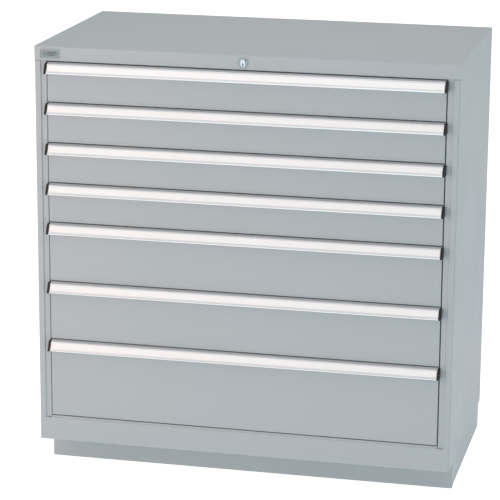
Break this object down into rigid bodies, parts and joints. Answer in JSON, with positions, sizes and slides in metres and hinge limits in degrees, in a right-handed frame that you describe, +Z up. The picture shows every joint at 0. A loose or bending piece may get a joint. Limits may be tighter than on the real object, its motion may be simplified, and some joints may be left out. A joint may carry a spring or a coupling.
{
  "type": "drawer cabinet",
  "caption": "Free-standing sheet-steel tool cabinet on a recessed plinth, with full-width drawers on roller slides, full-length channel handles and a central lock.",
  "frame": {"origin": "centre of the bounding box, handles included, on the floor plane", "axes": "+Z up, +X to the right as seen from the front, the drawers open towards -Y"},
  "size_m": [1.022, 0.5908, 1.06],
  "materials": {
    "cabinet_paint": "satin light grey powder coat",
    "tray_paint": "satin light grey powder coat",
    "zinc_steel": "zinc-plated sheet steel",
    "carriage_steel": "zinc-plated steel with dark rollers",
    "handle_aluminium": "bright satin anodised",
    "cap_plastic": "black moulded",
    "badge_aluminium": "satin",
    "lock_dark_metal": "dark satin",
    "lock_chrome": "polished",
    "bolt_steel": "bright steel",
    "label_card": "blank white card strip",
    "label_cover": "clear plastic strip over the card"
  },
  "bodies": {
    "cabinet": {"side_panel_left": "cabinet_paint", "side_panel_right": "cabinet_paint", "back_panel": "cabinet_paint", "top_cover": "cabinet_paint", "bottom_rail": "cabinet_paint", "floor_pan": "cabinet_paint", "slotted_posts": "zinc_steel", "cabinet_rails": "zinc_steel", "kick_plate": "cabinet_paint", "plinth_frame": "cabinet_paint", "base_bolts": "bolt_steel", "badge_plate": "badge_aluminium", "lock_housing": "lock_dark_metal", "lock_guides": "zinc_steel"},
    "drawer_1": {"drawer_tray_1": "tray_paint", "drawer_front_1": "cabinet_paint", "handle_1": "handle_aluminium", "handle_end_caps_1": "cap_plastic", "drawer_rails_1": "zinc_steel"},
    "carriage_1": {"carriage_1": "carriage_steel"},
    "drawer_2": {"drawer_tray_2": "tray_paint", "drawer_front_2": "cabinet_paint", "handle_2": "handle_aluminium", "handle_end_caps_2": "cap_plastic", "drawer_rails_2": "zinc_steel"},
    "carriage_2": {"carriage_2": "carriage_steel"},
    "drawer_3": {"drawer_tray_3": "tray_paint", "drawer_front_3": "cabinet_paint", "handle_3": "handle_aluminium", "handle_end_caps_3": "cap_plastic", "drawer_rails_3": "zinc_steel"},
    "carriage_3": {"carriage_3": "carriage_steel"},
    "drawer_4": {"drawer_tray_4": "tray_paint", "drawer_front_4": "cabinet_paint", "handle_4": "handle_aluminium", "handle_end_caps_4": "cap_plastic", "drawer_rails_4": "zinc_steel"},
    "carriage_4": {"carriage_4": "carriage_steel"},
    "drawer_5": {"drawer_tray_5": "tray_paint", "drawer_front_5": "cabinet_paint", "handle_5": "handle_aluminium", "handle_end_caps_5": "cap_plastic", "drawer_rails_5": "zinc_steel"},
    "carriage_5": {"carriage_5": "carriage_steel"},
    "drawer_6": {"drawer_tray_6": "tray_paint", "drawer_front_6": "cabinet_paint", "handle_6": "handle_aluminium", "handle_end_caps_6": "cap_plastic", "drawer_rails_6": "zinc_steel"},
    "carriage_6": {"carriage_6": "carriage_steel"},
    "drawer_7": {"drawer_tray_7": "tray_paint", "drawer_front_7": "cabinet_paint", "handle_7": "handle_aluminium", "handle_end_caps_7": "cap_plastic", "drawer_rails_7": "zinc_steel"},
    "carriage_7": {"carriage_7": "carriage_steel"},
    "lock_cylinder": {"lock_plug": "lock_chrome", "lock_tail_rod": "bolt_steel"},
    "lock_bar": {"lock_bar": "zinc_steel"}
  },
  "joints": [
    {"name": "drawer_1_slide", "type": "slide", "parent": "cabinet", "child": "drawer_1", "axis": [0, -1, 0], "range_m": [0, 0.46]},
    {"name": "carriage_1_slide", "type": "slide", "parent": "cabinet", "child": "carriage_1", "axis": [0, -1, 0], "range_m": [0, 0.23]},
    {"name": "drawer_2_slide", "type": "slide", "parent": "cabinet", "child": "drawer_2", "axis": [0, -1, 0], "range_m": [0, 0.46]},
    {"name": "carriage_2_slide", "type": "slide", "parent": "cabinet", "child": "carriage_2", "axis": [0, -1, 0], "range_m": [0, 0.23]},
    {"name": "drawer_3_slide", "type": "slide", "parent": "cabinet", "child": "drawer_3", "axis": [0, -1, 0], "range_m": [0, 0.46]},
    {"name": "carriage_3_slide", "type": "slide", "parent": "cabinet", "child": "carriage_3", "axis": [0, -1, 0], "range_m": [0, 0.23]},
    {"name": "drawer_4_slide", "type": "slide", "parent": "cabinet", "child": "drawer_4", "axis": [0, -1, 0], "range_m": [0, 0.46]},
    {"name": "carriage_4_slide", "type": "slide", "parent": "cabinet", "child": "carriage_4", "axis": [0, -1, 0], "range_m": [0, 0.23]},
    {"name": "drawer_5_slide", "type": "slide", "parent": "cabinet", "child": "drawer_5", "axis": [0, -1, 0], "range_m": [0, 0.46]},
    {"name": "carriage_5_slide", "type": "slide", "parent": "cabinet", "child": "carriage_5", "axis": [0, -1, 0], "range_m": [0, 0.23]},
    {"name": "drawer_6_slide", "type": "slide", "parent": "cabinet", "child": "drawer_6", "axis": [0, -1, 0], "range_m": [0, 0.46]},
    {"name": "carriage_6_slide", "type": "slide", "parent": "cabinet", "child": "carriage_6", "axis": [0, -1, 0], "range_m": [0, 0.23]},
    {"name": "drawer_7_slide", "type": "slide", "parent": "cabinet", "child": "drawer_7", "axis": [0, -1, 0], "range_m": [0, 0.46]},
    {"name": "carriage_7_slide", "type": "slide", "parent": "cabinet", "child": "carriage_7", "axis": [0, -1, 0], "range_m": [0, 0.23]},
    {"name": "lock_turn", "type": "hinge", "parent": "cabinet", "child": "lock_cylinder", "pos_m": [0, -0.2761, 1.0417], "axis": [0, 1, 0], "range_deg": [0, 90]},
    {"name": "lock_bar_lift", "type": "slide", "parent": "cabinet", "child": "lock_bar", "axis": [0, 0, 1], "range_m": [0, 0.01414]}
  ],
  "couplings": [
    {"joint": "carriage_1_slide", "follows": "drawer_1_slide", "ratio": 0.5},
    {"joint": "carriage_2_slide", "follows": "drawer_2_slide", "ratio": 0.5},
    {"joint": "carriage_3_slide", "follows": "drawer_3_slide", "ratio": 0.5},
    {"joint": "carriage_4_slide", "follows": "drawer_4_slide", "ratio": 0.5},
    {"joint": "carriage_5_slide", "follows": "drawer_5_slide", "ratio": 0.5},
    {"joint": "carriage_6_slide", "follows": "drawer_6_slide", "ratio": 0.5},
    {"joint": "carriage_7_slide", "follows": "drawer_7_slide", "ratio": 0.5},
    {"joint": "lock_turn", "follows": "lock_bar_lift", "rad_per_m": 111}
  ]
}
